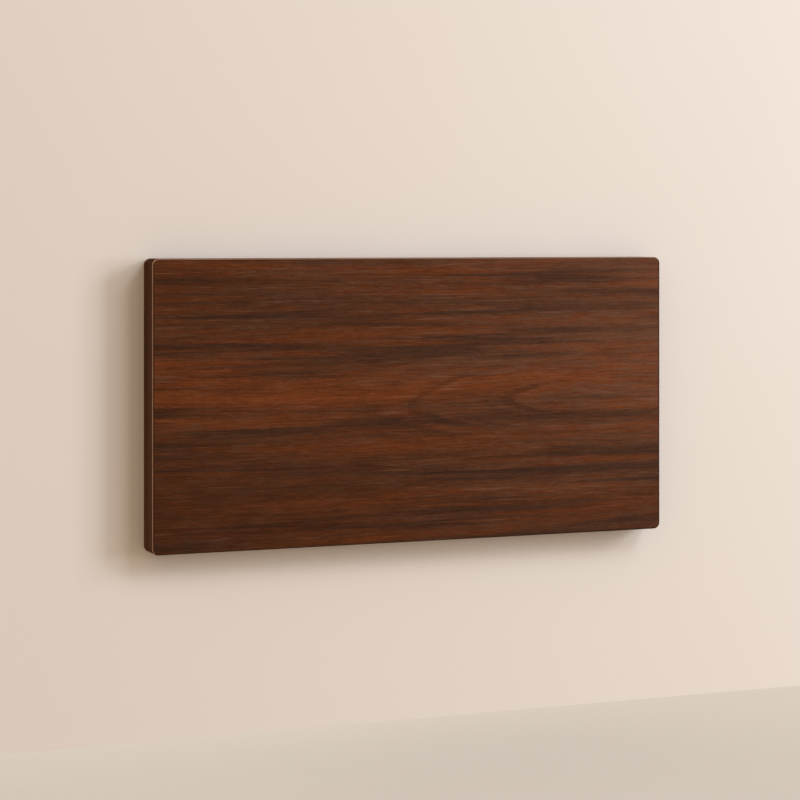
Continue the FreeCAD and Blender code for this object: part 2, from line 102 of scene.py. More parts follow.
def spread(tree, value, low, high, to_low=0.0, to_high=1.0, kind="SMOOTHSTEP"):
    """Stretches a value's range from low..high to to_low..to_high."""
    reach = {"Value": value, "From Min": low, "From Max": high, "To Min": to_low, "To Max": to_high}
    return place(tree, "MapRange", reach, interpolation_type=kind).outputs[0]


print("arithmetic ready")


# %% Noise
def noise(tree, vector, per_metre, detail=3.0, rough=0.5):
    """Noise with so many features a metre along each axis."""
    drawn = place(tree, "VectorMath", {0: vector, 1: per_metre}, operation="MULTIPLY").outputs[0]
    grain = {"Vector": drawn, "Scale": 1.0, "Detail": detail, "Roughness": rough}
    return place(tree, "TexNoise", grain).outputs[0]


def centred(tree, value):
    """Noise that swings about zero."""
    return maths(tree, "SUBTRACT", value, 0.5)


print("noise ready")


# %% Starting a finish
def start_finish(name, **settings):
    """A new material: its tree, its Principled shader, and each point's place and direction on the piece."""
    material = bpy.data.materials.new(name)
    material.use_nodes = True
    tree = material.node_tree
    skin = tree.nodes["Principled BSDF"]
    for label, value in settings.items():
        skin.inputs[label.replace("_", " ")].default_value = value
    spot = tree.nodes.new("ShaderNodeTexCoord").outputs
    return material, tree, skin, spot["Object"], spot["Normal"]


def dress(tree, skin, colour, roughness=None, height=None, depth=0.0001, strength=0.4):
    """Links a finish's colour, roughness and fine relief to its shader. The depth is in metres."""
    tree.links.new(colour, skin.inputs["Base Color"])
    if roughness:
        tree.links.new(roughness, skin.inputs["Roughness"])
    if height:
        relief = place(tree, "Bump", {"Height": height, "Distance": depth, "Strength": strength})
        tree.links.new(relief.outputs[0], skin.inputs["Normal"])


print("finish helpers ready")

# %% [markdown]
# ## The studio
#
# The table hangs on a pale painted wall above a pale floor. Both are stage, not table. They show only to the eye and
# in reflections, and only from the front: seen from behind the wall vanishes, so that the back of the frame can be
# looked at, and it throws no shade there. Far from the table both fade into the background, before they come so near
# to a lamp that they would burn out. A real room would do, but its corners and furniture would put their own shapes
# in the reflections.


# %% What the eye sees
def seen_directly(tree):
    """1 for what the eye sees, also in a mirror or through glass, and 0 for what lights other surfaces."""
    path = place(tree, "LightPath").outputs
    mirrored = maths(tree, "MAXIMUM", path["Is Glossy Ray"], path["Is Transmission Ray"])
    return maths(tree, "MAXIMUM", path["Is Camera Ray"], mirrored)


print("the stage is for the eye alone")

# %% Stage paint
WALL_PAINT = paint(225, 212, 201)
FLOOR_PAINT = paint(196, 186, 175)
THIN_PAINT = paint(238, 230, 220)
THIN_SHARE = 0.05
WALL_FADE = (1.3, 2.0)
FLOOR_FADE = (2.4, 5.0)


def stage_paint(name, colour, fade):
    """Matt paint that shows from the front alone and fades out between the two distances of fade."""
    material, tree, skin, spot, _ = start_finish(name, Roughness=0.85, Specular_IOR_Level=0.1)
    thin = spread(tree, noise(tree, spot, (1.2, 1.2, 1.2)), 0.3, 0.7, 0.0, THIN_SHARE)
    dress(tree, skin, mixed(tree, thin, colour, THIN_PAINT))
    front = maths(tree, "SUBTRACT", 1.0, place(tree, "NewGeometry").outputs["Backfacing"])
    away = place(tree, "VectorMath", {0: spot}, operation="LENGTH").outputs["Value"]
    near = spread(tree, away, fade[1], fade[0])
    present = maths(tree, "MULTIPLY", near, maths(tree, "MULTIPLY", front, seen_directly(tree)))
    clear = place(tree, "BsdfTransparent").outputs[0]
    shown = place(tree, "MixShader", {0: present, 1: clear, 2: skin.outputs[0]}).outputs[0]
    tree.links.new(shown, tree.nodes["Material Output"].inputs["Surface"])
    return material


wall_paint = stage_paint("wall_paint", WALL_PAINT, WALL_FADE)
floor_paint = stage_paint("floor_paint", FLOOR_PAINT, FLOOR_FADE)
print("paint for wall and floor")

# %% Wall and floor
FLOOR_LEVEL = -0.505
WALL_BEHIND = 0.0006


def flat_sheet(name, corners, material):
    """One flat face with its own finish."""
    mesh = bpy.data.meshes.new(name)
    mesh.from_pydata(corners, [], [(0, 1, 2, 3)])
    mesh.materials.append(material)
    sheet = bpy.data.objects.new(name, mesh)
    bpy.context.scene.collection.objects.link(sheet)


wall_reach = WALL_FADE[1]
wall_corners = [(-wall_reach, WALL_BEHIND, FLOOR_LEVEL), (wall_reach, WALL_BEHIND, FLOOR_LEVEL),
                (wall_reach, WALL_BEHIND, wall_reach), (-wall_reach, WALL_BEHIND, wall_reach)]
flat_sheet("wall", wall_corners, wall_paint)
floor_reach = FLOOR_FADE[1]
floor_corners = [(-floor_reach, -floor_reach, FLOOR_LEVEL), (floor_reach, -floor_reach, FLOOR_LEVEL),
                 (floor_reach, floor_reach, FLOOR_LEVEL), (-floor_reach, floor_reach, FLOOR_LEVEL)]
flat_sheet("floor", floor_corners, floor_paint)
print("floor", -FLOOR_LEVEL, "m below the middle of the table")

# %% [markdown]
# ## Light
#
# The shadow in the picture falls to the left and a little down, and it is soft: a large lamp stands to the right in
# front of the wall. A second shadow falls below the leaf, from a broad lamp overhead, and a low lamp at the right
# lifts it a little. The lamps are slightly cool, like daylight. The rest is even light from the room, warmer and
# weaker from below. One small lamp would give hard edges that the picture doesn't have. A weak lamp behind the wall
# lights the back of the frame for those who look there.


# %% Lamps
def lamp(name, stand, width, height, watts, colour):
    """A soft rectangular lamp that points at the middle of the table."""
    data = bpy.data.lights.new(name, "AREA")
    data.shape = "RECTANGLE"
    data.size = width
    data.size_y = height
    data.energy = watts
    data.color = colour
    made = bpy.data.objects.new(name, data)
    made.location = stand
    to_table = Vector([-value for value in stand])
    made.rotation_euler = to_table.to_track_quat("-Z", "Y").to_euler()
    bpy.context.scene.collection.objects.link(made)


DAYLIGHT = (0.89, 1.02, 1.19)
PLAIN_LIGHT = (1.0, 1.0, 1.0)
lamp("side_lamp", (5.6, -3.7, 2.5), 2.2, 2.2, 225, DAYLIGHT)
lamp("window_lamp", (5.6, -3.7, 0.35), 2.2, 1.4, 100, DAYLIGHT)
lamp("overhead_lamp", (2.4, -3.9, 3.75), 2.1, 2.1, 91, DAYLIGHT)
lamp("back_lamp", (0.0, 2.2, 0.2), 2.0, 1.2, 40, PLAIN_LIGHT)
print(len(bpy.data.lights), "lamps")

# %% Room light
ROOM_TONE_BELOW = paint(255, 226, 186)
ROOM_TONE_ABOVE = paint(255, 242, 226)
ROOM_STRENGTH_BELOW = 0.44
ROOM_STRENGTH_ABOVE = 0.75
ROOM_TURN = (-0.5, 0.7)

world = bpy.data.worlds.new("studio_room")
world.use_nodes = True
bpy.context.scene.world = world
room_tree = world.node_tree
room = room_tree.nodes["Background"]
direction = place(room_tree, "TexCoord").outputs["Generated"]
looking_up = place(room_tree, "SeparateXYZ", {0: direction}).outputs["Z"]
above = spread(room_tree, looking_up, *ROOM_TURN)
room_tree.links.new(mixed(room_tree, above, ROOM_TONE_BELOW, ROOM_TONE_ABOVE), room.inputs["Color"])
room_strength = spread(room_tree, above, 0.0, 1.0, ROOM_STRENGTH_BELOW, ROOM_STRENGTH_ABOVE, "LINEAR")
room_tree.links.new(room_strength, room.inputs["Strength"])
print("room light from", ROOM_STRENGTH_BELOW, "below to", ROOM_STRENGTH_ABOVE, "above")

# %% Background
BACKGROUND_TONE = paint(224, 210, 198)

backdrop = place(room_tree, "Background", {"Color": BACKGROUND_TONE, "Strength": 1.0})
both_rooms = {0: seen_directly(room_tree), 1: room.outputs[0], 2: backdrop.outputs[0]}
whole_room = place(room_tree, "MixShader", both_rooms)
room_tree.links.new(whole_room.outputs[0], room_tree.nodes["World Output"].inputs["Surface"])
print("plain background for the eye")

# %% [markdown]
# ## Shared effects
#
# Wood grain, edge wear and handling marks come back in many finishes. We could copy their nodes into each material,
# but then one change would have to be made many times. So each is a node group with named sockets, built once and
# placed in a material with its own values. Two helpers start a group and place it, and one makes colour ramps.


# %% Groups and ramps
def start_group(name, inputs, outputs):
    """An empty shader node group, the sockets that come into it and those that leave it."""
    group = bpy.data.node_groups.new(name, "ShaderNodeTree")
    for label, kind, value in inputs:
        socket = group.interface.new_socket(label, in_out="INPUT", socket_type="NodeSocket" + kind)
        socket.default_value = value
    for label, kind in outputs:
        group.interface.new_socket(label, in_out="OUTPUT", socket_type="NodeSocket" + kind)
    return group, group.nodes.new("NodeGroupInput").outputs, group.nodes.new("NodeGroupOutput").inputs


def use(tree, group, **inputs):
    """Places a group in a material with its own values."""
    made = tree.nodes.new("ShaderNodeGroup")
    made.node_tree = group
    return feed(tree, made, inputs).outputs


def ramp(tree, value, *stops):
    """A colour ramp through stops of (position, colour), in rising order."""
    made = place(tree, "ValToRGB", {0: value})
    elements = made.color_ramp.elements
    for element, (position, colour) in zip((elements[0], elements[1]), (stops[0], stops[-1])):
        element.position = position
        element.color = colour
    for position, colour in stops[1:-1]:
        elements.new(position).color = colour
    return made.outputs[0]


print("group helpers ready")

# %% [markdown]
# ## Walnut
#
# The face of the leaf is walnut laminate with its grain running along the table. Close up, such a sheet has patterns
# of many sizes: broad clouds and swathes, bands a finger wide with smoky darks, a fine mottle, thin threads, fibres
# with fine pores, and here and there a pale hairline. The ends of the broad patterns are feathered, because each row
# of fibres carries its colour a little further or less far. Right of the middle the cut grazes the growth rings,
# which show there as pointed arches whose arms soon dissolve. The hue drifts between brown and red: broad light parts
# are redder, smoky darks and fine light streaks greyer.
#
# A picture of wood would be quicker, but it would repeat, and it has no depth. Here each pattern is noise drawn out
# along the grain, and the arches are lines at set distances from the heart of the tree, which lies at a slant under
# the board. All of it is one group, because the leaf, its edge band and the wall frame use it with their own values.

# %% Walnut group
SWAY_REACH = 0.009
RIPPLE_REACH = 0.0035

walnut, come, leave = start_group(
    "walnut_grain",
    [("Place", "Vector", (0, 0, 0)), ("Figure", "Float", 1.0), ("Lift", "Float", 0.0),
     ("Redness", "Float", 0.0)],
    [("Colour", "Color"), ("Roughness", "Float"), ("Height", "Float")])

axes = place(walnut, "SeparateXYZ", {0: come["Place"]}).outputs
sway = centred(walnut, noise(walnut, come["Place"], (1.8, 6.0, 6.0), 2.0))
ripple = centred(walnut, noise(walnut, come["Place"], (9.0, 30.0, 30.0), 2.0))
across = maths(walnut, "MULTIPLY_ADD", sway, SWAY_REACH, axes["Y"])
across = maths(walnut, "MULTIPLY_ADD", ripple, RIPPLE_REACH, across)
grain_place = place(walnut, "CombineXYZ", {0: axes["X"], 1: across, 2: axes["Z"]}).outputs[0]
print("grain that sways within", SWAY_REACH, "m")

# %% Feathered rows
FEATHER_REACH = 0.75

row_place = place(walnut, "CombineXYZ", {1: across, 2: axes["Z"]}).outputs[0]
feather = centred(walnut, noise(walnut, row_place, (0.0, 110.0, 60.0), 2.0, 0.6))
slid_along = maths(walnut, "MULTIPLY_ADD", feather, FEATHER_REACH, axes["X"])
broad_place = place(walnut, "CombineXYZ", {0: slid_along, 1: across, 2: axes["Z"]}).outputs[0]
print("rows of fibres slid within", FEATHER_REACH, "m")

# %% Walnut rings
HEART_ALONG = 0.33
HEART_ACROSS = -0.002
HEART_SLANT = 0.17
RING_DRAW = 0.12

under = maths(walnut, "MULTIPLY", maths(walnut, "SUBTRACT", axes["X"], HEART_ALONG), HEART_SLANT)
beside = maths(walnut, "SUBTRACT", across, HEART_ACROSS)
under_squared = maths(walnut, "MULTIPLY", under, under)
beside_squared = maths(walnut, "MULTIPLY", beside, beside)
ring = maths(walnut, "SQRT", maths(walnut, "ADD", under_squared, beside_squared))
ring_along = maths(walnut, "MULTIPLY", axes["X"], RING_DRAW)
ring_place = place(walnut, "CombineXYZ", {0: ring_along, 1: ring}).outputs[0]
rings = noise(walnut, ring_place, (10.0, 60.0, 1.0), 3.0, 0.6)
print("rings round a heart", HEART_ALONG, "m right of the middle")

# %% Walnut arches
FIRST_ARCH = 0.030
ARCH_SPACING = 0.027
ARCH_WANDER = 0.012
ARCH_LINE = (0.0006, 0.0036)
ARCH_TONE = -0.05
ARM_STEEPNESS = (0.93, 0.60)
HEART_CLEAR = (0.010, 0.020)
ARCHES_ACROSS = (0.03, 0.10)
ARCHES_ALONG = (-0.12, 0.08)

off_heart = maths(walnut, "ABSOLUTE", beside)
near_heart = spread(walnut, off_heart, *ARCHES_ACROSS, 1.0, 0.0)
past_middle = spread(walnut, axes["X"], *ARCHES_ALONG)
arches = maths(walnut, "MULTIPLY", maths(walnut, "MULTIPLY", near_heart, past_middle), come["Figure"])
wander = noise(walnut, come["Place"], (14.0, 40.0, 20.0))
wander = maths(walnut, "MULTIPLY_ADD", wander, ARCH_WANDER, -0.5 * ARCH_WANDER - FIRST_ARCH)
to_line = maths(walnut, "PINGPONG", maths(walnut, "ADD", ring, wander), 0.5 * ARCH_SPACING)
arch_lines = spread(walnut, to_line, *ARCH_LINE, ARCH_TONE, 0.0)
arms = spread(walnut, maths(walnut, "DIVIDE", off_heart, ring), *ARM_STEEPNESS)
arms = maths(walnut, "MULTIPLY", arms, spread(walnut, ring, *HEART_CLEAR))
drawn_arms = maths(walnut, "MULTIPLY", arms, arches)
print("an arch every", ARCH_SPACING, "m of ring")

# %% Walnut patterns
HAIRLINE_RANGE = (0.61, 0.74)
HAIRLINE_TONE = 0.085
VEIN_RANGE = (0.60, 0.76)
VEIN_TONE = -0.06

clouds = noise(walnut, broad_place, (1.2, 6.5, 12.0), 0.0)
swathes = noise(walnut, broad_place, (1.7, 18.0, 20.0), 0.5)
bands = noise(walnut, broad_place, (2.6, 50.0, 48.0), 1.5)
mottle = noise(walnut, grain_place, (20.0, 75.0, 50.0), 2.5, 0.6)
threads = noise(walnut, grain_place, (16.0, 360.0, 200.0), 4.0, 0.68)
fibres = noise(walnut, grain_place, (70.0, 820.0, 600.0), 3.0, 0.7)
hairlines = noise(walnut, grain_place, (11.0, 360.0, 200.0), 2.0)
hairlines = spread(walnut, hairlines, *HAIRLINE_RANGE, 0.0, HAIRLINE_TONE)
veins = noise(walnut, grain_place, (6.0, 300.0, 150.0), 2.0)
veins = spread(walnut, veins, *VEIN_RANGE, 0.0, VEIN_TONE)
print("eight patterns drawn along the grain")

# %% Walnut bands and smoke
RING_SHARE = 0.7
SMOKE_RANGE = (0.49, 0.36)

ring_share = maths(walnut, "MULTIPLY", arches, RING_SHARE)
broad = place(walnut, "Mix", {0: ring_share, 2: bands, 3: rings}).outputs[0]
smoke = maths(walnut, "MULTIPLY_ADD", swathes, 0.3, maths(walnut, "MULTIPLY", broad, 0.7))
smoke = spread(walnut, smoke, *SMOKE_RANGE)
print("bands turn into rings at the arches, and their darks are smoky")


# %% Walnut tone
def summed(tree, start, *shares):
    """A start value, and to it each pattern times its share."""
    total = start
    for pattern, share in shares:
        total = maths(tree, "MULTIPLY_ADD", pattern, share, total)
    return total


TONE_BASE = -0.0195

tone = summed(walnut, maths(walnut, "ADD", come["Lift"], TONE_BASE),
              (clouds, 0.13), (swathes, 0.055), (broad, 0.128), (mottle, 0.085), (smoke, -0.05),
              (threads, 0.175), (fibres, 0.25), (hairlines, 1.0), (veins, 1.0), (arch_lines, drawn_arms))
brown = ramp(walnut, tone, (0.26, paint(49, 28, 16)), (0.34, paint(67, 39, 23)), (0.395, paint(80, 48, 29)),
             (0.45, paint(93, 58, 38)), (0.54, paint(109, 71, 51)))
red = ramp(walnut, tone, (0.26, paint(54, 26, 8)), (0.34, paint(75, 36, 11)), (0.395, paint(93, 44, 14)),
           (0.45, paint(109, 54, 22)), (0.54, paint(130, 71, 40)))
print("walnut from dark to light in brown and in red")

# %% Walnut hue
WARMTH_BASE = 0.40
BLUSH_RANGE = (0.34, 0.65)

drift = noise(walnut, broad_place, (3.6, 36.0, 30.0), 2.0)
flecks = noise(walnut, grain_place, (26.0, 150.0, 80.0), 3.0, 0.65)
# Where Lift is higher the wood is less red; on the leaf's face Lift carries painted light towards the right end and
# top.
warmth = summed(walnut, maths(walnut, "ADD", come["Redness"], WARMTH_BASE),
                (drift, 0.50), (flecks, 0.46), (come["Lift"], -0.6), (smoke, -0.07), (clouds, 0.08),
                (swathes, 0.17), (broad, 0.10), (threads, -0.55), (fibres, -0.60), (hairlines, -1.5))
blush = spread(walnut, warmth, *BLUSH_RANGE)
wood = mixed(walnut, blush, brown, red)
print("hue between brown and red")

# %% Walnut pores and sheen
PORE_TONE = paint(38, 22, 16)
PORE_SHARE = 0.35
SHEEN_RANGE = (0.40, 0.50)

pores = spread(walnut, noise(walnut, grain_place, (120.0, 3600.0, 2500.0), 1.0), 0.60, 0.70)
wood = mixed(walnut, maths(walnut, "MULTIPLY", pores, PORE_SHARE), wood, PORE_TONE)
walnut.links.new(wood, leave["Colour"])
sheen = spread(walnut, threads, 0.3, 0.7, *SHEEN_RANGE, "LINEAR")
walnut.links.new(sheen, leave["Roughness"])
relief = maths(walnut, "SUBTRACT", maths(walnut, "MULTIPLY", threads, 0.5), pores)
walnut.links.new(relief, leave["Height"])
print(len(walnut.nodes), "nodes in the walnut group")

# %% [markdown]
# ## Edge wear
#
# Hands, cloths and knocks thin the finish along edges first. On these pieces the edges are small flats or rounds,
# and what tells them from the broad faces is which way they point: between two of the main directions. The group
# turns that into a mask and breaks it up with noise. A bevel shader could find the edges too, but it is slow and
# doesn't leave this program.

# %% Wear group
EDGE_SLANT = (0.95, 0.80)

wear, come, leave = start_group(
    "edge_wear",
    [("Place", "Vector", (0, 0, 0)), ("Facing", "Vector", (0, 0, 1)), ("Amount", "Float", 0.5)],
    [("Mask", "Float")])
turned = place(wear, "VectorMath", {0: come["Facing"]}, operation="ABSOLUTE").outputs[0]
sides = place(wear, "SeparateXYZ", {0: turned}).outputs
most = maths(wear, "MAXIMUM", maths(wear, "MAXIMUM", sides["X"], sides["Y"]), sides["Z"])
slant = spread(wear, most, *EDGE_SLANT)
patch = spread(wear, noise(wear, come["Place"], (90.0, 90.0, 90.0), 4.0, 0.65), 0.35, 0.65, 0.35, 1.0)
rubbed = maths(wear, "MULTIPLY", maths(wear, "MULTIPLY", slant, patch), come["Amount"])
wear.links.new(rubbed, leave["Mask"])
print("edge wear group ready")

# %% [markdown]
# ## Handling marks
#
# No surface in use is evenly glossy. Wiping leaves long faint arcs and fingers leave dull spots. We could paint them
# one by one, but two sizes of noise do. This group adds a small change to the roughness that a finish has.

# %% Handling group
handling, come, leave = start_group(
    "handling_marks",
    [("Place", "Vector", (0, 0, 0)), ("Roughness", "Float", 0.4), ("Amount", "Float", 0.05)],
    [("Roughness", "Float")])
spots = centred(handling, noise(handling, come["Place"], (28.0, 28.0, 28.0), 4.0, 0.6))
wiped = centred(handling, noise(handling, come["Place"], (4.0, 9.0, 45.0)))
marks = maths(handling, "ADD", spots, wiped)
marked = maths(handling, "MULTIPLY_ADD", marks, come["Amount"], come["Roughness"])
handling.links.new(marked, leave["Roughness"])
print("handling group ready")

# %% [markdown]
# ## The leaf's face
#
# The laminate is satin. Its grain runs along the table, so the place on the piece goes into the group with the height
# as the direction across the grain. Painted light makes the sheet a little lighter and less red towards its right end
# and its top. Round the rim the glue shows as a thin dark line, clearest at the two ends. The line could be a piece
# of its own, but it has no thickness, so it is drawn in the finish.


# %% Direction of the grain
def grain_along(tree, spot, order, slide=(0.0, 0.0, 0.0)):
    """A place on a piece, its axes in the order along, across, through, slid to another part of the wood."""
    parts = place(tree, "SeparateXYZ", {0: spot}).outputs
    turned = place(tree, "CombineXYZ", {n: parts[axis] for n, axis in enumerate(order)}).outputs[0]
    return place(tree, "VectorMath", {0: turned, 1: slide}, operation="ADD").outputs[0]


print("grain may run along any axis")

# %% Walnut laminate
PAINTED_LIGHT_ALONG = 0.10
PAINTED_LIGHT_UP = 0.13
FACE_REDNESS = 0.035
GLUE_TONE = paint(38, 20, 10)
GLUE_SHARE = 0.65
SHEET_END = (0.4210, 0.4222)
SHEET_TOP = (0.2160, 0.2172)
TOP_SHARE = 0.35

walnut_laminate, tree, skin, spot, _ = start_finish("walnut_laminate_satin", Specular_IOR_Level=0.07)
sheet_axes = place(tree, "SeparateXYZ", {0: spot}).outputs
# Painted light: the face grows lighter, and through Lift less red, towards its right end and its top.
painted_light_up = maths(tree, "MULTIPLY", sheet_axes["Z"], PAINTED_LIGHT_UP)
painted_light_lift = maths(tree, "MULTIPLY_ADD", sheet_axes["X"], PAINTED_LIGHT_ALONG, painted_light_up)
wood = use(tree, walnut, Place=grain_along(tree, spot, "XZY"), Lift=painted_light_lift, Redness=FACE_REDNESS)
end_rim = spread(tree, maths(tree, "ABSOLUTE", sheet_axes["X"]), *SHEET_END)
top_rim = spread(tree, maths(tree, "ABSOLUTE", sheet_axes["Z"]), *SHEET_TOP, 0.0, TOP_SHARE)
glue_line = maths(tree, "MULTIPLY", maths(tree, "MAXIMUM", end_rim, top_rim), GLUE_SHARE)
edged = mixed(tree, glue_line, wood["Colour"], GLUE_TONE)
gloss = use(tree, handling, Place=spot, Roughness=wood["Roughness"], Amount=0.06)
dress(tree, skin, edged, gloss["Roughness"], wood["Height"], 0.00006, 0.35)
print("face laminate")

# %% [markdown]
# ## The edge band
#
# A band two millimetres thick runs round the leaf. Its grain follows the edge, so on the two short edges it stands
# upright. The band and the frame behind it share a grey brown edge stain. The arris towards the room is chamfered
# and lighter, partly rubbed where hands and cloths pass most and partly a painted highlight: a thin pale line on the
# left, a fainter one along the top. On the right and underneath painted shade darkens the arris. On the side beside
# the arris runs a dark line. A separate strip for the pale line would be thinner than a real one could be, so the way
# the surface faces picks it out.

# %% Walnut band
EDGE_STAIN = paint(50, 43, 34)
STAIN_SHARE = 0.43
EDGE_REDNESS = -0.3

walnut_band, tree, skin, spot, facing = start_finish("walnut_band_satin", Specular_IOR_Level=0.0)
way = place(tree, "SeparateXYZ", {0: facing}).outputs
upright = spread(tree, maths(tree, "ABSOLUTE", way["X"]), 0.35, 0.55)
lying_grain = grain_along(tree, spot, "XYZ", (0.0, 0.31, 0.17))
standing_grain = grain_along(tree, spot, "ZYX", (0.23, 0.11, 0.29))
grain = place(tree, "Mix", {0: upright, 4: lying_grain, 5: standing_grain}, data_type="VECTOR").outputs[1]
wood = use(tree, walnut, Place=grain, Figure=0.0, Lift=0.085, Redness=EDGE_REDNESS)
toned = mixed(tree, STAIN_SHARE, wood["Colour"], EDGE_STAIN)
print("edge band with its grain along the edge")

# %% The band's directions
past_side = spread(tree, way["Y"], -0.45, -0.60)
before_face = spread(tree, way["Y"], -0.95, -0.82)
front_arris = maths(tree, "MULTIPLY", past_side, before_face)
on_side = spread(tree, way["Y"], -0.5, -0.3)
to_left = spread(tree, way["X"], -0.3, -0.6)
to_right = spread(tree, way["X"], 0.3, 0.6)
upward = spread(tree, way["Z"], 0.3, 0.6)
downward = spread(tree, way["Z"], -0.3, -0.6)
depth = place(tree, "SeparateXYZ", {0: spot}).outputs["Y"]
print("masks for the arris and the four sides")

# %% The band's dark line, painted shade, wear and painted highlight
DARK_LINE_AND_SHADE_TONE = paint(34, 20, 12)
DARK_LINE_DEPTH = (-0.0400, -0.0415)
DARK_LINE_SHARE = 0.85
PAINTED_SHADE_SHARE = 0.75
RUBBED_AND_HIGHLIT_WOOD = paint(176, 138, 116)
RUBBED_AND_HIGHLIT_DEPTH = (-0.0460, -0.0452)
RUB_AND_HIGHLIGHT_RIGHT = 0.05
RUB_AND_HIGHLIGHT_TOP = 0.5

# On the side a dark line runs beside the arris, and on the right and underneath painted shade darkens the arris.
dark_line_and_shade = maths(tree, "MULTIPLY", spread(tree, depth, *DARK_LINE_DEPTH, 0.0, DARK_LINE_SHARE), on_side)
painted_shade_arris = maths(tree, "MULTIPLY", front_arris, maths(tree, "MAXIMUM", to_right, downward))
dark_line_and_shade = maths(tree, "MAXIMUM", dark_line_and_shade, maths(tree, "MULTIPLY", painted_shade_arris, PAINTED_SHADE_SHARE))
darkened_band = mixed(tree, dark_line_and_shade, toned, DARK_LINE_AND_SHADE_TONE)
# The pale arris is partly rubbed wood and partly a painted highlight: strongest on the left, fainter along the top.
rub = summed(tree, to_left, (to_right, RUB_AND_HIGHLIGHT_RIGHT), (upward, RUB_AND_HIGHLIGHT_TOP))
patchy = spread(tree, noise(tree, spot, (60.0, 60.0, 60.0)), 0.3, 0.7, 0.75, 1.0)
rub = maths(tree, "MULTIPLY", maths(tree, "MULTIPLY", front_arris, rub), patchy)
rub = maths(tree, "MULTIPLY", rub, maths(tree, "MAXIMUM", spread(tree, depth, *RUBBED_AND_HIGHLIT_DEPTH), upward))
worn_and_highlit_wood = mixed(tree, rub, darkened_band, RUBBED_AND_HIGHLIT_WOOD)
gloss = use(tree, handling, Place=spot, Roughness=wood["Roughness"], Amount=0.05)
dress(tree, skin, worn_and_highlit_wood, gloss["Roughness"], wood["Height"], 0.00006, 0.3)
print("edge band stained and rubbed")

# %% [markdown]
# ## The wall frame
#
# The frame behind the leaf is solid wood in the same colour. Rails lie along the table and stiles stand up, so each
# needs its own direction of grain. One material could turn its grain by the shape of the piece, but two materials
# from one recipe are plainer.

# %% Frame walnut
FRAME_WORN = paint(112, 80, 58)


def frame_walnut(name, order, slide):
    """Solid walnut with its grain along the first axis of order."""
    material, tree, skin, spot, facing = start_finish(name, Specular_IOR_Level=0.0)
    grain = grain_along(tree, spot, order, slide)
    wood = use(tree, walnut, Place=grain, Figure=0.0, Lift=0.05, Redness=EDGE_REDNESS)
    toned = mixed(tree, STAIN_SHARE, wood["Colour"], EDGE_STAIN)
    rub = use(tree, wear, Place=spot, Facing=facing, Amount=0.35)["Mask"]
    worn = mixed(tree, rub, toned, FRAME_WORN)
    gloss = use(tree, handling, Place=spot, Roughness=wood["Roughness"], Amount=0.08)
    dress(tree, skin, worn, gloss["Roughness"], wood["Height"])
    return material


rail_walnut = frame_walnut("walnut_frame_rails", "XZY", (0.43, 0.37, 0.0))
stile_walnut = frame_walnut("walnut_frame_stiles", "ZXY", (0.71, 0.53, 0.0))
print("rails and stiles")

# %% [markdown]
# ## Hidden boards
#
# The leaf's back carries a plain dark sheet that balances the laminate in front, with a faint linen press. The core
# is particle board: flakes of many sizes pressed flat. Noise would blur them, and a texture of cells has their hard
# edges. The dowels are beech, pale and flecked. The back shows when the leaf is raised, the rest when it is taken
# apart.

# %% Backing sheet
backing_laminate, tree, skin, spot, _ = start_finish("backing_laminate_matt", Specular_IOR_Level=0.3)
weft = noise(tree, spot, (150.0, 150.0, 2600.0), 2.0)
warp = noise(tree, spot, (2600.0, 150.0, 150.0))
weave = maths(tree, "MULTIPLY", weft, warp)
shade = noise(tree, spot, (5.0, 5.0, 9.0), 4.0, 0.6)
linen = maths(tree, "MULTIPLY_ADD", weave, 0.8, maths(tree, "MULTIPLY", shade, 0.5))
colour = ramp(tree, linen, (0.30, paint(58, 41, 31)), (0.45, paint(74, 53, 40)), (0.62, paint(92, 69, 54)))
gloss = use(tree, handling, Place=spot, Roughness=0.55, Amount=0.12)
dress(tree, skin, colour, gloss["Roughness"], weave)
print("backing sheet")

# %% Particle board
board_core, tree, skin, spot, _ = start_finish("particle_board", Roughness=0.85)
flakes = place(tree, "TexVoronoi", {"Vector": spot, "Scale": 420.0, "Randomness": 1.0}).outputs
chips = place(tree, "TexVoronoi", {"Vector": spot, "Scale": 170.0, "Randomness": 1.0}).outputs
flake_tone = place(tree, "SeparateColor", {0: flakes["Color"]}).outputs[0]
chip_tone = place(tree, "SeparateColor", {0: chips["Color"]}).outputs[1]
pressed = maths(tree, "MULTIPLY_ADD", flake_tone, 0.6, maths(tree, "MULTIPLY", chip_tone, 0.4))
colour = ramp(tree, pressed, (0.1, paint(128, 94, 58)), (0.5, paint(176, 140, 96)),
              (0.9, paint(206, 176, 132)))
dress(tree, skin, colour, None, flakes["Distance"], 0.0004, 0.5)
print("particle board")

# %% Beech
BEECH_FLECK = paint(150, 100, 62)

beech, tree, skin, spot, _ = start_finish("beech_dowel", Roughness=0.6)
fleck = spread(tree, noise(tree, spot, (260.0, 1400.0, 1400.0), 1.0), 0.58, 0.70)
streak = noise(tree, spot, (30.0, 500.0, 500.0))
pale = ramp(tree, streak, (0.3, paint(186, 140, 96)), (0.7, paint(216, 176, 132)))
colour = mixed(tree, maths(tree, "MULTIPLY", fleck, 0.5), pale, BEECH_FLECK)
dress(tree, skin, colour, None, streak, 0.0001, 0.3)
print("beech")

# %% [markdown]
# ## Metals
#
# Hinges and strike plates are nickel plated, with a faint brushed line, and the screws are a darker steel. Tracks,
# pivots and axles have the cloudy blue grey of zinc. One recipe makes all of these with their own tones. Arms,
# brackets and turn buttons are powder coated black: a skin with a fine orange peel, rubbed greyer along its edges. It
# could be plain black, but then its edges would be lost.

# %% Plated steel
BRIGHT_EDGE = paint(226, 222, 214)
BRUSHED_SPREAD = 0.12


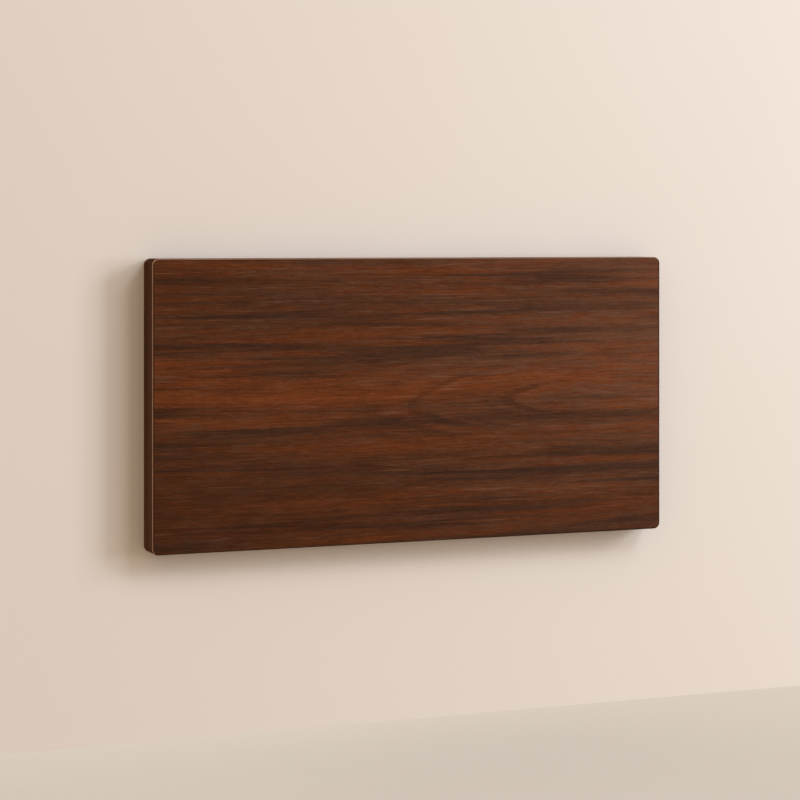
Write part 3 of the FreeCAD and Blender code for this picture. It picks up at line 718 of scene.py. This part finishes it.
def plated(name, base, cloud, brushed, roughness):
    """Bare or plated steel: a base tone, a cloudier tone, and fine lines with so many features a metre."""
    material, tree, skin, spot, facing = start_finish(name, Metallic=1.0)
    lines = noise(tree, spot, brushed, 3.0, 0.6)
    stain = noise(tree, spot, (70.0, 70.0, 70.0), 4.0, 0.6)
    rub = use(tree, wear, Place=spot, Facing=facing, Amount=0.5)["Mask"]
    colour = mixed(tree, spread(tree, stain, 0.35, 0.7), base, cloud)
    colour = mixed(tree, rub, colour, BRIGHT_EDGE)
    brushed_gloss = spread(tree, lines, 0.3, 0.7, roughness, roughness + BRUSHED_SPREAD, "LINEAR")
    gloss = use(tree, handling, Place=spot, Roughness=brushed_gloss, Amount=0.15)
    dress(tree, skin, colour, gloss["Roughness"], lines, 0.00003, 0.25)
    return material


nickel_steel = plated("nickel_plate", paint(200, 194, 184), paint(178, 170, 158), (40.0, 2200.0, 2200.0), 0.26)
zinc_steel = plated("zinc_plate", paint(184, 188, 192), paint(158, 164, 172), (2200.0, 2200.0, 60.0), 0.34)
magnet = plated("magnet_nickel", paint(112, 110, 108), paint(88, 86, 84), (900.0, 900.0, 900.0), 0.42)
screw_steel = plated("screw_steel", paint(150, 143, 130), paint(118, 111, 100), (1300.0, 1300.0, 1300.0), 0.30)
print("plated steels")

# %% Black powder coat
RUBBED_COAT = paint(88, 86, 84)

black_steel, tree, skin, spot, facing = start_finish("black_powder_coat", Specular_IOR_Level=0.45)
peel = noise(tree, spot, (1500.0, 1500.0, 1500.0), 2.0)
tint = noise(tree, spot, (45.0, 45.0, 45.0), 4.0, 0.6)
coat = ramp(tree, tint, (0.3, paint(26, 26, 27)), (0.7, paint(40, 39, 38)))
rub = use(tree, wear, Place=spot, Facing=facing, Amount=0.45)["Mask"]
coat = mixed(tree, rub, coat, RUBBED_COAT)
gloss = use(tree, handling, Place=spot, Roughness=0.48, Amount=0.15)
dress(tree, skin, coat, gloss["Roughness"], peel, 0.0002, 0.35)
print("powder coat")

# %% [markdown]
# ## Nylon and rubber
#
# Rollers, washers and spacers are natural nylon: milky, a little yellow, with faint flow lines from the mould and
# grey marks from use. A flat white would look like chalk, so a little light passes under the skin (subsurface). The
# pads in the seam are dark rubber, matt and dusty.

# %% Nylon
UNDER_SKIN = (0.004, 0.0035, 0.003)
NYLON_GRIME = paint(140, 134, 124)

nylon, tree, skin, spot, _ = start_finish("milky_nylon", Subsurface_Weight=0.25, Subsurface_Radius=UNDER_SKIN)
flow = noise(tree, spot, (60.0, 240.0, 240.0))
grime = spread(tree, noise(tree, spot, (320.0, 320.0, 320.0), 4.0, 0.65), 0.52, 0.72, 0.0, 0.35)
milk = ramp(tree, flow, (0.3, paint(214, 206, 188)), (0.7, paint(232, 226, 212)))
gloss = use(tree, handling, Place=spot, Roughness=0.42, Amount=0.2)
dress(tree, skin, mixed(tree, grime, milk, NYLON_GRIME), gloss["Roughness"], flow, 0.0001, 0.2)
print("nylon")

# %% Rubber
RUBBER_TONE = paint(34, 33, 32)
RUBBER_DUST = paint(92, 88, 82)

rubber, tree, skin, spot, _ = start_finish("dusty_rubber", Specular_IOR_Level=0.25)
dust = spread(tree, noise(tree, spot, (400.0, 400.0, 400.0), 4.0, 0.7), 0.45, 0.75, 0.0, 0.4)
grit = noise(tree, spot, (2500.0, 2500.0, 2500.0), 2.0)
gloss = use(tree, handling, Place=spot, Roughness=0.8, Amount=0.15)
dress(tree, skin, mixed(tree, dust, RUBBER_TONE, RUBBER_DUST), gloss["Roughness"], grit)
print("rubber")

# %% [markdown]
# ## Putting the finishes on
#
# Each ready piece names its finish in its material slot. We swap that plain finish for ours. Naming every piece would
# work too, but the list would be long. Only two groups differ from their slot: the two stiles get the walnut whose
# grain stands upright, and the screws a darker steel, so that their heads show in the plates.

# %% Assign the finishes
FINISHES = {
    "walnut_laminate": walnut_laminate,
    "walnut_band": walnut_band,
    "walnut_frame": rail_walnut,
    "backing_laminate": backing_laminate,
    "board_core": board_core,
    "beech": beech,
    "nickel_steel": nickel_steel,
    "zinc_steel": zinc_steel,
    "magnet": magnet,
    "black_steel": black_steel,
    "nylon": nylon,
    "rubber": rubber,
}
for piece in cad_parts.values():
    for holder in piece.material_slots:
        holder.material = FINISHES[holder.material.name]
print(len(FINISHES), "finishes on", len(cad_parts), "pieces")

# %% Stiles and screws
OWN_FINISHES = {
    "stile_left": stile_walnut,
    "stile_right": stile_walnut,
    "hinge_frame_screws": screw_steel,
    "hinge_leaf_screws": screw_steel,
    "bracket_screws": screw_steel,
    "strike_screws": screw_steel,
    "track_screws": screw_steel,
}
for name, finish in OWN_FINISHES.items():
    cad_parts[name].material_slots[0].material = finish
print(len(OWN_FINISHES), "pieces with a finish of their own")
